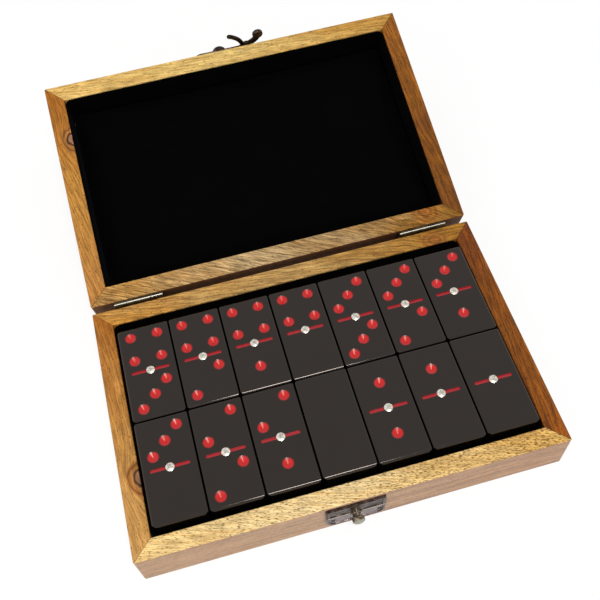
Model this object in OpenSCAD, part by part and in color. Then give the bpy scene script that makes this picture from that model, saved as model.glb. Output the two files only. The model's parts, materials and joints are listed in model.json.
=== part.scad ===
// Hinged wooden box for a double-six set of dominoes, packed in two layers of fourteen.
// The box stands open: the lid leans back until one of its top edges rests on the table.
// Origin: centre of the base's underside. +X is to the right as seen from the latch,
// +Y points to the hinges and +Z is up. All sizes are in millimetres.

/* [Dominoes] */
// Width of a domino
tile_w = 25.4; // [20:0.1:32]
// Length of a domino
tile_l = 50.8; // [44:0.1:60]
// Thickness of a domino
tile_t = 12.7; // [9:0.1:14]
// Radius of a domino's four upright corners
tile_corner_r = 2.2; // [1:0.1:4]
// Radius along a domino's face edges
tile_edge_r = 1.2; // [0.5:0.1:2]
// Gap between neighbouring dominoes
tile_gap = 0.3; // [0.3:0.1:2]
// Diameter of a drilled pip
pip_d = 5.7; // [3:0.1:6]
// Depth of a pip's cone
pip_depth = 1.3; // [0.4:0.1:2]
// Distance between pip rows and pip columns
pip_pitch = 6.6; // [6.2:0.1:7]
// Length of the dividing groove
groove_l = 18.6; // [12:0.1:19]
// Width of the dividing groove
groove_w = 1.6; // [0.6:0.1:2]
// Depth of the dividing groove
groove_depth = 0.6; // [0.2:0.1:1]

/* [Spinner pins] */
// Diameter of a spinner's domed head
spinner_d = 4.2; // [3:0.1:5]
// Height of a spinner's head above the face
spinner_h = 0.5; // [0.3:0.1:1]
// Diameter of a spinner's shank
spinner_shank_d = 2; // [1:0.1:2.6]
// Length of a spinner's shank
spinner_shank_l = 5; // [2:0.5:7]

/* [Box] */
// Thickness of the wooden rails
rail_t = 9.3; // [7:0.1:14]
// Height of the base
base_h = 25.5; // [20:0.5:30]
// Height of the lid
lid_h = 27.2; // [22:0.1:32]
// Thickness of the bottom panel
bottom_panel_t = 3.8; // [2:0.1:4]
// Thickness of the lid's top panel
top_panel_t = 5; // [3:0.5:7]
// Width of the rebate that a panel is let into
rebate_w = 4; // [2:0.5:6]
// Gap all round a panel in its rebate
panel_fit = 0.1; // [0.05:0.05:0.3]
// Radius of the rails' long edges
arris_r = 0.6; // [0.3:0.1:1.5]
// Radius of the box's four upright corners
box_corner_r = 1.2; // [0.7:0.1:4]
// Gap between the rims of the closed box
closing_gap = 0.4; // [0.2:0.1:1]

/* [Velvet lining] */
// Thickness of the lining on the walls
lining_t = 0.7; // [0.4:0.1:1.2]
// Thickness of the lining on the base's floor
floor_lining_t = 0.5; // [0.3:0.1:1.5]
// How far the lining stops below a rim
lining_drop = 0.8; // [0.4:0.1:2]
// Radius of the lining's inner corners
lining_corner_r = 3; // [1.5:0.5:5]
// Gap between the lining and the dominoes at each side
side_clear = 1.2; // [0.2:0.1:2]
// Gap between the lining and the front row of dominoes
front_clear = 1.4; // [0.3:0.1:2]
// Finger gap between the lining and the back row of dominoes
back_clear = 7.1; // [5:0.1:14]
// Depth of the lid's pad below the lid's rim
pad_recess = 11.5; // [9:0.5:14]
// Gap between the pad and the lid's lining
pad_gap = 0.3; // [0.1:0.1:1]
// How far the middle of the pad stands above its sewn edge
pad_crown = 0.6; // [0:0.1:1.5]
// Radius of the pad's rolled edge
pad_roll_r = 2.4; // [1:0.1:3]
// How far the middle of each side of the pad is drawn in
pad_draw = 0.4; // [0:0.1:1]

/* [Hinges] */
// Length of a hinge
hinge_l = 25; // [18:0.5:34]
// Distance from a hinge's middle to the box's side
hinge_inset = 24.5; // [20:0.5:40]
// Height of a hinge leaf from the hinge's axis
leaf_h = 9; // [7.5:0.5:10]
// Thickness of a hinge leaf
leaf_t = 1; // [0.8:0.1:1.4]
// Diameter of a hinge's barrel
barrel_d = 3; // [2.8:0.1:5]
// Diameter of a hinge pin
pin_d = 1.4; // [1.2:0.1:1.8]
// Gap round a hinge pin
pin_fit = 0.05; // [0.02:0.01:0.1]
// Length of each end knuckle
end_knuckle_l = 6.25; // [4:0.25:8]
// Gap between knuckles
knuckle_gap = 0.15; // [0.1:0.05:0.4]
// Gap between the barrel and the wood
barrel_clear = 0.3; // [0.2:0.1:1]
// Distance between the two screws of a leaf
leaf_screw_pitch = 15; // [10:0.5:17]
// Height of a leaf's screws from the hinge's axis
leaf_screw_drop = 5.8; // [5:0.1:6]

/* [Latch] */
// Offset of the latch from the middle of the box
latch_x = -1.4; // [-10:0.1:10]
// Distance of the keeper stud below the base's rim
stud_drop = 11.75; // [11:0.25:13]
// Height of the hook's pivot above the lid's rim
pivot_rise = 5.25; // [5:0.25:8]
// Angle that the open hook stands below the horizontal
hook_rest_angle = 22; // [0:1:60]
// Width of both latch plates
plate_w = 28; // [26:0.5:34]
// Height of the keeper plate on the base
keeper_plate_h = 19; // [17:0.5:20]
// Distance of the keeper plate's upper edge below the base's rim
keeper_top_drop = 1.6; // [1:0.1:3]
// Radius of the keeper plate's upper corners
keeper_top_r = 1.2; // [0.5:0.1:3]
// Radius of the keeper plate's lower corners
keeper_low_r = 4.5; // [2:0.5:6]
// Height of the keeper plate's raised ridge above its stud
ridge_rise = 1.5; // [0:0.1:3]
// Height of the latch plate on the lid
latch_plate_h = 9; // [8:0.5:9.5]
// Radius of the latch plate's corners
latch_plate_r = 3; // [1:0.5:4]
// Thickness of the latch plates
plate_t = 1; // [0.8:0.1:1.1]
// Height of the raised lines on the latch plates
bead_h = 0.35; // [0.1:0.05:0.4]
// Width of the raised lines
bead_w = 1; // [0.5:0.1:1.5]
// Distance of the raised border from a plate's edge
bead_inset = 0.6; // [0.3:0.1:1.2]
// Distance between a latch plate's two screws
plate_screw_pitch = 21.8; // [20:0.2:24]
// How far the keeper plate's screws sit below its stud
keeper_screw_drop = 3; // [0:0.25:3]
// Height of the collar that keeps the hook off its plate
collar_h = 0.6; // [0.5:0.1:1]
// Diameter of the collars under the hook and the stud
collar_d = 5.6; // [5:0.1:7]
// Thickness of the hook
hook_t = 1.6; // [1.2:0.1:2]
// Gap on each face of the hook at its pivot
hook_play = 0.1; // [0.05:0.05:0.2]
// Diameter of the hook's rivet
rivet_d = 3; // [2.4:0.1:3.6]
// Gap round the hook's rivet
rivet_fit = 0.05; // [0.02:0.01:0.1]
// Diameter of the rivet's domed head
rivet_head_d = 7.4; // [6:0.1:8]
// Height of the rivet's domed head
rivet_head_h = 2.1; // [1.5:0.1:3]
// Diameter of the keeper stud's neck
stud_neck_d = 4; // [3:0.1:4.4]
// Diameter of the keeper stud's head
stud_head_d = 5.8; // [5.6:0.1:7]
// Length of the keeper stud's head
stud_head_l = 3.1; // [2.4:0.1:4]
// Gap between the hook's throat and the stud's neck
throat_clear = 0.25; // [0.1:0.05:0.5]
// Angle of the inner horn's root from the line to the stud
inner_horn_root = 20; // [15:1:25]
// Angle of the inner horn's tip from the line to the stud
inner_horn_tip = 41; // [34:1:46]
// Width of the hook's inner horn
inner_horn_w = 2.4; // [1.8:0.1:2.8]
// Width of the hook's outer horn
outer_horn_w = 3.6; // [2.6:0.1:4]
// Width of the hook's arm
arm_w = 3.4; // [2.6:0.1:4]
// How far the arm bows out past the stud's seat
arm_bow_side = 0.2; // [0:0.1:1]
// Distance from the arm's middle back to its bow
arm_bow_back = 0.7; // [0:0.1:1.5]
// Distance from the fork back to the stud
fork_back = 2; // [1.6:0.1:2.4]
// How far the fork lies outside the stud's seat
fork_side = 0.1; // [0:0.1:0.4]
// Diameter of the fork between the hook's horns
fork_d = 5.2; // [4.6:0.1:5.6]
// Diameter of the eye round the hook's rivet
eye_d = 7.6; // [6:0.1:8.4]
// Distance from the stud on to the outer horn's bow
horn_bow_reach = 2.8; // [2.4:0.1:3.2]
// How far the outer horn's bow lies inside the stud's seat
horn_bow_side = 0.5; // [0.3:0.1:0.8]
// Distance from the stud on to the finger knob
knob_reach = 7; // [6.5:0.25:8]
// Distance of the finger knob from the line through rivet and stud
knob_side = 0.5; // [0:0.1:1]
// Diameter of the finger knob at the hook's end
knob_d = 6; // [5:0.1:7]
// Thickness of the finger knob
knob_t = 2.8; // [2:0.1:4]
// Radius of the hook's cast edges
cast_r = 0.5; // [0.3:0.1:0.5]

/* [Screws] */
// Diameter of the screws' heads
screw_head_d = 3.6; // [3:0.1:4]
// Depth of the screws' countersunk heads
screw_head_h = 0.9; // [0.6:0.05:1]
// Diameter of the screws' shanks
screw_d = 1.8; // [1.4:0.1:2.2]
// Length of the screws under the head
screw_l = 6; // [4:0.5:6]
// Gap round a screw, rivet or spinner pin in its hole
hole_fit = 0.02; // [0.01:0.01:0.05]
// Depth of a hole beyond the end of its screw, rivet or stud
hole_spare = 0.2; // [0.1:0.1:0.5]
// Width of a screw's cross slot
slot_w = 0.5; // [0.3:0.1:0.7]
// Depth of a screw's cross slot
slot_depth = 0.45; // [0.2:0.05:0.6]

/* [Hidden] */
$fn = 48;

// The dominoes as packed: back row then front row, from left to right.
// In each pair the back half comes first.
LOWER_LAYER = [
    [[6, 6], [6, 5], [6, 4], [6, 3], [6, 2], [6, 1], [6, 0]],
    [[5, 5], [5, 4], [5, 3], [5, 2], [5, 1], [5, 0], [4, 4]]
];
UPPER_LAYER = [
    [[4, 3], [4, 2], [4, 1], [4, 0], [3, 3], [3, 2], [3, 1]],
    [[3, 0], [2, 2], [2, 1], [2, 0], [1, 1], [1, 0], [0, 0]]
];
LAYERS = [LOWER_LAYER, UPPER_LAYER];
// The one domino that lies with its pips down
FACE_DOWN = [2, 0];

columns = len(LOWER_LAYER[0]);
rows = len(LOWER_LAYER);
eps = 0.01;

// Points along the pad's corners, sides, rolled edge and face
pad_corner_steps = 5;
pad_side_steps = 8;
pad_roll_steps = 5;
pad_face_steps = 4;

// Insides and outsides of the box follow from the packed dominoes
inner_w = columns * tile_w + (columns - 1) * tile_gap + 2 * (side_clear + lining_t);
inner_d = rows * tile_l + (rows - 1) * tile_gap + front_clear + back_clear + 2 * lining_t;
box_w = inner_w + 2 * rail_t;
box_d = inner_d + 2 * rail_t;
lid_rim_z = base_h + closing_gap;
lid_top_z = lid_rim_z + lid_h;
floor_z = bottom_panel_t + floor_lining_t;
first_row_y = box_d / 2 - rail_t - lining_t - back_clear - tile_l / 2;
first_column_x = -(columns - 1) * (tile_w + tile_gap) / 2;
// Clearance under a domino that lies on the spinner of the one below
stack_clear = 0.05;

// Hinge axis, and the angle at which one of the open lid's top edges meets the table:
// the near edge at the hinges or, on a lid too low to reach, the far edge at the latch
barrel_r = barrel_d / 2;
hinge_back = barrel_r + barrel_clear;
axis_y = box_d / 2 + hinge_back;
axis_z = base_h + closing_gap / 2;
near_edge = [hinge_back + arris_r, closing_gap / 2 + lid_h - arris_r];
far_edge = near_edge + [box_d - 2 * arris_r, 0];
function table_angle(edge) =
    atan2(edge.x, edge.y) + acos(-min(1, (axis_z - arris_r) / norm(edge)));
open_angle = min(table_angle(near_edge), table_angle(far_edge));
hinge_x = box_w / 2 - hinge_inset;

// Latch: the hook reaches from its pivot on the lid to the stud on the base
stud_z = base_h - stud_drop;
pivot_z = lid_rim_z + pivot_rise;
hook_reach = pivot_z - stud_z;
hook_back_z = plate_t + collar_h + hook_play;
rivet_head_z = hook_back_z + hook_t + hook_play;
keeper_plate_rise = stud_drop - keeper_top_drop - keeper_plate_h / 2;

// Places on the hook, from its pivot: x towards the stud, y away from the mouth
seat_y = stud_neck_d / 2 + throat_clear + outer_horn_w / 2;
fork = [hook_reach - fork_back, seat_y + fork_side];
knob = [hook_reach + knob_reach, knob_side];
arm_bow = [hook_reach / 2 - arm_bow_back, seat_y + arm_bow_side];
outer_horn_bow = [hook_reach + horn_bow_reach, seat_y - horn_bow_side];
inner_horn_r = hook_reach - stud_neck_d / 2 - throat_clear - inner_horn_w / 2;

// Colours
honey_wood = "#c9974f";
red_wood = "#a86a35";
velvet = "#0b0b0d";
bronze = "#4a4038";
brass = "#c9b98a";
steel = "#c8c8c6";
tile_black = "#38332f";

// Rectangle about the origin with round corners
module rounded_rect(w, d, r) {
    square([w - 2 * r, d], center = true);
    square([w, d - 2 * r], center = true);
    for (x = [-1, 1], y = [-1, 1])
        translate([x * (w / 2 - r), y * (d / 2 - r)]) circle(r);
}

// Round cap of radius r and height h on z = 0
module dome(r, h) {
    ball_r = (r * r + h * h) / (2 * h);
    intersection() {
        translate([0, 0, h - ball_r]) sphere(ball_r, $fn = 64);
        cylinder(r = r, h = h);
    }
}

// Block on z = 0 with round upright corners and round face edges
module rounded_block(w, l, t, corner_r, edge_r) {
    intersection() {
        linear_extrude(t) rounded_rect(w, l, corner_r);
        translate([0, l / 2, t / 2]) rotate([90, 0, 0]) linear_extrude(l) rounded_rect(w, t, edge_r);
        translate([-w / 2, 0, t / 2]) rotate([90, 0, 90]) linear_extrude(w) rounded_rect(l, t, edge_r);
    }
}

// Moves children from the closed lid's place to the open lid's
module on_open_lid() {
    translate([0, axis_y, axis_z]) rotate([-open_angle, 0, 0]) translate([0, -axis_y, -axis_z])
        children();
}

// Puts children on the front face, with their z axis pointing out of the wood
module on_front(x, z) {
    translate([x, -box_d / 2, z]) rotate([90, 0, 0]) children();
}

// Puts children on the back face, with their z axis pointing out of the wood
module on_back(x, z) {
    translate([x, box_d / 2, z]) rotate([-90, 0, 0]) children();
}

// Countersunk wood screw with its head's face on z = 0
module screw() {
    difference() {
        union() {
            translate([0, 0, -screw_head_h])
                cylinder(d1 = screw_d, d2 = screw_head_d, h = screw_head_h);
            translate([0, 0, -screw_head_h - screw_l])
                cylinder(d = screw_d, h = screw_l + eps);
        }
        for (turn = [45, 135])
            rotate([0, 0, turn]) translate([-screw_head_d / 3, -slot_w / 2, -slot_depth])
                cube([screw_head_d / 1.5, slot_w, 1]);
    }
}

// Space that a screw needs in metal and in wood, under a face on z = 0
module screw_space() {
    fit_d = screw_d + 2 * hole_fit;
    translate([0, 0, -screw_head_h])
        cylinder(d1 = fit_d, d2 = screw_head_d + 2 * hole_fit, h = screw_head_h);
    translate([0, 0, -eps]) cylinder(d = screw_head_d + 2 * hole_fit, h = 1);
    translate([0, 0, -screw_head_h - screw_l - hole_spare]) cylinder(d = fit_d, h = screw_l + 1);
}

// Shank of the stud or the rivet in the wood, from z = 0 down
module shank_space() {
    translate([0, 0, -screw_l - hole_spare]) cylinder(d = screw_d + 2 * hole_fit, h = screw_l + 3);
}

// Section of a rail: x runs inwards from the outer face, y up from the panel's side
module rail_section(height, panel_t) {
    difference() {
        translate([rail_t / 2, height / 2]) rounded_rect(rail_t, height, arris_r);
        translate([rail_t - rebate_w, -1]) square([rebate_w + 1, panel_t + 1]);
    }
}

// Rail with mitred ends, its outer face on y = 0 and its panel's side on z = 0
module mitred_rail(length, height, panel_t) {
    intersection() {
        translate([-length / 2, 0, 0]) rotate([90, 0, 90]) linear_extrude(length)
            rail_section(height, panel_t);
        linear_extrude(height) polygon([
            [-length / 2, 0], [length / 2, 0],
            [length / 2 - rail_t, rail_t], [-length / 2 + rail_t, rail_t]
        ]);
    }
}

// One of a frame's four rails: 0 front, 1 right, 2 back, 3 left
module frame_rail(side, height, panel_t) {
    across = side % 2 == 0;
    intersection() {
        rotate([0, 0, 90 * side]) translate([0, -(across ? box_d : box_w) / 2, 0])
            mitred_rail(across ? box_w : box_d, height, panel_t);
        linear_extrude(height) rounded_rect(box_w, box_d, box_corner_r);
    }
}

// A rail of the lid in the closed lid's place, its rebate upwards
module lid_rail(side) {
    translate([0, 0, lid_top_z]) mirror([0, 0, 1]) frame_rail(side, lid_h, top_panel_t);
}

// Panel that fits the rebates all round
module panel(t) {
    fit_w = 2 * (rail_t - rebate_w + panel_fit);
    translate([0, 0, t / 2]) cube([box_w - fit_w, box_d - fit_w, t], center = true);
}

// Two screws of a latch plate, on the plate's face
module at_plate_screws(drop) {
    for (side = [-1, 1])
        translate([side * plate_screw_pitch / 2, -drop, plate_t]) children();
}

// Screws of both hinges' base leaves, or of their lid leaves in the closed lid's place
module at_leaf_screws(up) {
    for (hinge = [-1, 1], side = [-1, 1])
        on_back(hinge * hinge_x + side * leaf_screw_pitch / 2, axis_z + up * leaf_screw_drop)
            translate([0, 0, leaf_t]) children();
}

module base_front_rail() {
    color(honey_wood) difference() {
        frame_rail(0, base_h, bottom_panel_t);
        on_front(latch_x, stud_z) {
            at_plate_screws(keeper_screw_drop) screw_space();
            shank_space();
        }
    }
}

module base_back_rail() {
    color(honey_wood) difference() {
        frame_rail(2, base_h, bottom_panel_t);
        at_leaf_screws(-1) screw_space();
    }
}

module base_left_rail() {
    color(honey_wood) frame_rail(3, base_h, bottom_panel_t);
}

module base_right_rail() {
    color(red_wood) frame_rail(1, base_h, bottom_panel_t);
}

module base_bottom_panel() {
    color(honey_wood) panel(bottom_panel_t);
}

module base_lining() {
    wall_h = base_h - bottom_panel_t - lining_drop;
    color(velvet) translate([0, 0, bottom_panel_t]) difference() {
        translate([0, 0, wall_h / 2]) cube([inner_w, inner_d, wall_h], center = true);
        translate([0, 0, floor_lining_t]) linear_extrude(wall_h)
            rounded_rect(inner_w - 2 * lining_t, inner_d - 2 * lining_t, lining_corner_r);
    }
}

// Outline of a latch plate, drawn in all round by a margin
module plate_outline(h, top_r, low_r, margin) {
    w2 = plate_w / 2 - margin;
    h2 = h / 2 - margin;
    top = max(top_r - margin, 0.2);
    low = max(low_r - margin, 0.2);
    polygon([
        [w2, h2 - top], [w2 - top, h2], [-w2 + top, h2], [-w2, h2 - top],
        [-w2, -h2 + low], [-w2 + low, -h2], [w2 - low, -h2], [w2, -h2 + low]
    ]);
    for (side = [-1, 1]) {
        translate([side * (w2 - top), h2 - top]) circle(top);
        translate([side * (w2 - low), -h2 + low]) circle(low);
    }
}

// Stamped plate with a raised border, its back on z = 0
module stamped_plate(h, top_r, low_r) {
    linear_extrude(plate_t) plate_outline(h, top_r, low_r, 0);
    linear_extrude(plate_t + bead_h) difference() {
        plate_outline(h, top_r, low_r, bead_inset);
        plate_outline(h, top_r, low_r, bead_inset + bead_w);
    }
}

// Ridge across the keeper plate, from border to border and round the stud's collar
module keeper_ridge() {
    ridge_l = plate_w - 2 * bead_inset - bead_w;
    linear_extrude(plate_t + bead_h) difference() {
        translate([0, ridge_rise]) square([ridge_l, bead_w], center = true);
        circle(d = collar_d + 2 * bead_w);
    }
}

module keeper_plate() {
    color(bronze) on_front(latch_x, stud_z) difference() {
        union() {
            translate([0, keeper_plate_rise]) stamped_plate(keeper_plate_h, keeper_top_r, keeper_low_r);
            keeper_ridge();
        }
        at_plate_screws(keeper_screw_drop) screw_space();
        shank_space();
    }
}

module latch_plate() {
    color(bronze) on_open_lid() on_front(latch_x, pivot_z) difference() {
        stamped_plate(latch_plate_h, latch_plate_r, latch_plate_r);
        at_plate_screws(0) screw_space();
        shank_space();
    }
}

// Post that stands on a plate: shank in the wood, collar, neck and head
module post(neck_d, head_z) {
    translate([0, 0, -screw_l]) cylinder(d = screw_d, h = screw_l + plate_t + eps);
    translate([0, 0, plate_t]) cylinder(d = collar_d, h = collar_h);
    translate([0, 0, plate_t]) cylinder(d = neck_d, h = head_z - plate_t + eps);
}

module keeper_stud() {
    dome_h = stud_head_l / 3;
    taper_h = stud_head_l / 6;
    color(bronze) on_front(latch_x, stud_z) {
        post(stud_neck_d, rivet_head_z);
        translate([0, 0, rivet_head_z])
            cylinder(d1 = stud_neck_d + 1, d2 = stud_head_d, h = taper_h);
        translate([0, 0, rivet_head_z + taper_h - eps])
            cylinder(d = stud_head_d, h = stud_head_l - taper_h - dome_h + eps);
        translate([0, 0, rivet_head_z + stud_head_l - dome_h]) dome(stud_head_d / 2, dome_h);
    }
}

module keeper_screws() {
    color(bronze) on_front(latch_x, stud_z) at_plate_screws(keeper_screw_drop) screw();
}

module latch_rivet() {
    color(bronze) on_open_lid() on_front(latch_x, pivot_z) {
        post(rivet_d, rivet_head_z);
        translate([0, 0, rivet_head_z]) dome(rivet_head_d / 2, rivet_head_h);
    }
}

module latch_screws() {
    color(bronze) on_open_lid() on_front(latch_x, pivot_z) at_plate_screws(0) screw();
}

// Centre of the circle through three points
function circle_centre(p) =
    let (
        a = p[1] - p[0], b = p[2] - p[0],
        d = 2 * (a.x * b.y - a.y * b.x),
        aa = a * a, bb = b * b
    )
    p[0] + [b.y * aa - a.y * bb, a.x * bb - b.x * aa] / d;

// Half of a cast section that is 2 r wide, from its middle outwards
module half_section(r, t, edge_r) {
    intersection() {
        rounded_rect(2 * r, t, edge_r);
        translate([0, -t]) square([r + 1, 2 * t]);
    }
}

// Cast disc about mid thickness with round edges
module cast_disc(r, t, edge_r) {
    rotate_extrude() half_section(r, t, edge_r);
}

// Cast bar of radius r about the origin, from angle a0 to angle a1
module cast_bar(r, a0, a1, w) {
    rotate([0, 0, a0]) rotate_extrude(angle = a1 - a0) translate([r, 0])
        rounded_rect(w, hook_t, cast_r);
}

// Cast bar bent to the arc through three points, clockwise
module cast_arc(p, w) {
    c = circle_centre(p);
    a0 = atan2(p[2].y - c.y, p[2].x - c.x);
    a1 = atan2(p[0].y - c.y, p[0].x - c.x);
    translate(c) cast_bar(norm(p[0] - c), a0, a1, w);
}

// Hook about mid thickness: pivot at the origin, x towards the stud, mouth towards -y
module hook_body() {
    difference() {
        union() {
            cast_arc([[0, 0], arm_bow, fork], arm_w);
            translate(fork) cast_disc(fork_d / 2, hook_t, cast_r);
            cast_bar(inner_horn_r, -inner_horn_tip, inner_horn_root, inner_horn_w);
            rotate([0, 0, -inner_horn_tip]) translate([inner_horn_r, 0]) rotate([0, 0, 180])
                rotate_extrude(angle = 180) half_section(inner_horn_w / 2, hook_t, cast_r);
            cast_disc(eye_d / 2, hook_t, cast_r);
            cast_arc([fork, outer_horn_bow, knob], outer_horn_w);
        }
        cylinder(d = rivet_d + 2 * rivet_fit, h = 3 * hook_t, center = true);
    }
    translate([knob.x, knob.y, (knob_t - hook_t) / 2])
        cast_disc(knob_d / 2, knob_t, knob_t / 2.4);
}

module latch_hook() {
    color(bronze) on_open_lid() on_front(latch_x, pivot_z)
        translate([0, 0, hook_back_z + hook_t / 2]) rotate([0, 0, -hook_rest_angle]) hook_body();
}

// Knuckle of a hinge between two places along its axis, and the tab that joins it to its leaf
module knuckle(x0, x1) {
    difference() {
        union() {
            translate([x0, 0, 0]) rotate([0, 90, 0]) cylinder(r = barrel_r, h = x1 - x0);
            translate([x0, -hinge_back, -barrel_r - 1]) cube([x1 - x0, leaf_t, barrel_r + 1]);
        }
        translate([x0 - 1, 0, 0]) rotate([0, 90, 0])
            cylinder(d = pin_d + 2 * pin_fit, h = x1 - x0 + 2);
    }
}

// Leaf that hangs below the hinge's axis at the origin; wood lies on its -y side
module leaf(spans) {
    plate_top = -barrel_r - 2 * knuckle_gap;
    plate_l = leaf_h + plate_top;
    difference() {
        union() {
            translate([0, -hinge_back + leaf_t, plate_top - plate_l / 2]) rotate([90, 0, 0])
                linear_extrude(leaf_t) {
                    rounded_rect(hinge_l, plate_l, 1);
                    translate([0, plate_l / 4]) square([hinge_l, plate_l / 2], center = true);
                }
            for (s = spans) knuckle(s[0], s[1]);
        }
        for (side = [-1, 1])
            translate([side * leaf_screw_pitch / 2, -hinge_back + leaf_t, -leaf_screw_drop])
                rotate([-90, 0, 0]) screw_space();
    }
}

module hinge_base_leaf(side) {
    half = hinge_l / 2;
    color(brass) translate([side * hinge_x, axis_y, axis_z])
        leaf([[-half, -half + end_knuckle_l], [half - end_knuckle_l, half]]);
}

module hinge_lid_leaf(side) {
    half = hinge_l / 2 - end_knuckle_l - knuckle_gap;
    color(brass) on_open_lid() translate([side * hinge_x, axis_y, axis_z]) mirror([0, 0, 1])
        leaf([[-half, half]]);
}

module hinge_pin(side) {
    head_h = 0.6;
    color(brass) translate([side * hinge_x, axis_y, axis_z]) rotate([0, 90, 0]) {
        cylinder(d = pin_d, h = hinge_l + 2 * pin_fit + 2 * eps, center = true);
        for (end = [0, 1]) mirror([0, 0, end]) translate([0, 0, hinge_l / 2 + pin_fit])
            dome((barrel_d + pin_d) / 4, head_h);
    }
}

module hinge_base_screws() {
    color(brass) at_leaf_screws(-1) screw();
}

module hinge_lid_screws() {
    color(brass) on_open_lid() at_leaf_screws(1) screw();
}

module lid_front_rail() {
    color(honey_wood) on_open_lid() difference() {
        lid_rail(0);
        on_front(latch_x, pivot_z) {
            at_plate_screws(0) screw_space();
            shank_space();
        }
    }
}

module lid_back_rail() {
    color(honey_wood) on_open_lid() difference() {
        lid_rail(2);
        at_leaf_screws(1) screw_space();
    }
}

module lid_left_rail() {
    color(honey_wood) on_open_lid() lid_rail(3);
}

module lid_right_rail() {
    color(red_wood) on_open_lid() lid_rail(1);
}

module lid_top_panel() {
    color(honey_wood) on_open_lid() translate([0, 0, lid_top_z - top_panel_t]) panel(top_panel_t);
}

module lid_lining() {
    wall_h = lid_h - top_panel_t - lining_drop;
    color(velvet) on_open_lid() translate([0, 0, lid_rim_z + lining_drop]) linear_extrude(wall_h)
        difference() {
            square([inner_w, inner_d], center = true);
            rounded_rect(inner_w - 2 * lining_t, inner_d - 2 * lining_t, lining_corner_r);
        }
}

// Point along the pad's edge: k counts round the ring, m is the margin from the full outline
function pad_point(k, m, z) =
    let (
        per_side = pad_corner_steps + pad_side_steps,
        side = floor(k / per_side), j = k % per_side,
        half_w = inner_w / 2 - lining_t - pad_gap - m,
        half_d = inner_d / 2 - lining_t - pad_gap - m,
        r = max(lining_corner_r - pad_gap - m, 0.4),
        sx = [1, -1, -1, 1][side], sy = [1, 1, -1, -1][side],
        next_x = [-1, -1, 1, 1][side], next_y = [1, -1, -1, 1][side],
        a = 90 * (side + j / (pad_corner_steps - 1)),
        arc_end = 90 * (side + 1),
        from = [sx * (half_w - r) + r * cos(arc_end), sy * (half_d - r) + r * sin(arc_end)],
        to = [next_x * (half_w - r) + r * cos(arc_end), next_y * (half_d - r) + r * sin(arc_end)],
        f = (j - pad_corner_steps + 1) / (pad_side_steps + 1),
        inward = -[cos(arc_end), sin(arc_end)],
        p = j < pad_corner_steps
            ? [sx * (half_w - r) + r * cos(a), sy * (half_d - r) + r * sin(a)]
            : from + (to - from) * f + inward * pad_draw * sin(180 * f)
    )
    [p.x, p.y, z];

module lid_pad() {
    pad_t = lid_h - top_panel_t - pad_recess;
    ring_n = 4 * (pad_corner_steps + pad_side_steps);
    face_margin = inner_d / 2 - lining_t - pad_gap - 1;
    side_t = pad_t - pad_crown - pad_roll_r;
    levels = concat(
        [[0, 0]],
        [for (i = [0:pad_roll_steps])
            let (a = 90 * i / pad_roll_steps)
            [pad_roll_r * (1 - cos(a)), side_t + pad_roll_r * sin(a)]],
        [for (i = [1:pad_face_steps])
            let (f = i / pad_face_steps)
            [pad_roll_r + (face_margin - pad_roll_r) * f * f, side_t + pad_roll_r + pad_crown * sin(90 * f)]]
    );
    points = [for (level = levels, k = [0:ring_n - 1]) pad_point(k, level[0], level[1])];
    last = (len(levels) - 1) * ring_n;
    faces = concat(
        [[for (k = [0:ring_n - 1]) k]],
        [for (i = [0:len(levels) - 2], k = [0:ring_n - 1])
            let (a = i * ring_n + k, b = i * ring_n + (k + 1) % ring_n)
            each [[a, a + ring_n, b + ring_n], [a, b + ring_n, b]]],
        [[for (k = [ring_n - 1:-1:0]) last + k]]
    );
    color(velvet) on_open_lid() translate([0, 0, lid_top_z - top_panel_t]) mirror([0, 0, 1])
        polyhedron(points = points, faces = faces);
}

// Places of the pips in a half, as steps of the pip pitch
function pip_places(n) =
    n == 0 ? []
    : n == 1 ? [[0, 0]]
    : n == 2 ? [[1, 1], [-1, -1]]
    : n == 3 ? concat(pip_places(1), pip_places(2))
    : n == 4 ? concat(pip_places(2), [[-1, 1], [1, -1]])
    : n == 5 ? concat(pip_places(1), pip_places(4))
    : concat(pip_places(4), [[0, 1], [0, -1]]);

// Shank of the pin at a domino's middle, from z = 0 down
module spinner_shank(clear) {
    translate([0, 0, -spinner_shank_l - clear])
        cylinder(d = spinner_shank_d + 2 * clear, h = spinner_shank_l + 2 * clear + eps);
}

// Domino with its face up, standing on z = 0
module domino(numbers) {
    half_y = 2 * pip_pitch;
    color(tile_black) difference() {
        rounded_block(tile_w, tile_l, tile_t, tile_corner_r, tile_edge_r);
        for (half = [0, 1], p = pip_places(numbers[half]))
            translate([p.x * pip_pitch, (1 - 2 * half) * half_y + p.y * pip_pitch, tile_t - pip_depth])
                cylinder(d1 = 0, d2 = pip_d * (1 + eps / pip_depth), h = pip_depth + eps, $fn = 32);
        translate([0, 0, tile_t - groove_depth]) linear_extrude(1) {
            square([groove_l - groove_w, groove_w], center = true);
            for (end = [-1, 1]) translate([end * (groove_l - groove_w) / 2, 0]) circle(d = groove_w);
        }
        translate([0, 0, tile_t]) spinner_shank(hole_fit);
    }
    color(steel) translate([0, 0, tile_t + hole_fit]) {
        spinner_shank(0);
        dome(spinner_d / 2, spinner_h);
    }
}

// Domino in its packed place
module packed_domino(layer, row, column) {
    numbers = LAYERS[layer][row][column];
    face_down = numbers == FACE_DOWN;
    rise = tile_t + hole_fit + spinner_h + stack_clear;
    z = floor_z + layer * rise + (face_down ? spinner_h + hole_fit : 0);
    translate([
        first_column_x + column * (tile_w + tile_gap),
        first_row_y - row * (tile_l + tile_gap),
        z
    ])
        translate([0, 0, face_down ? tile_t : 0]) rotate([0, face_down ? 180 : 0, 0]) domino(numbers);
}

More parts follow.
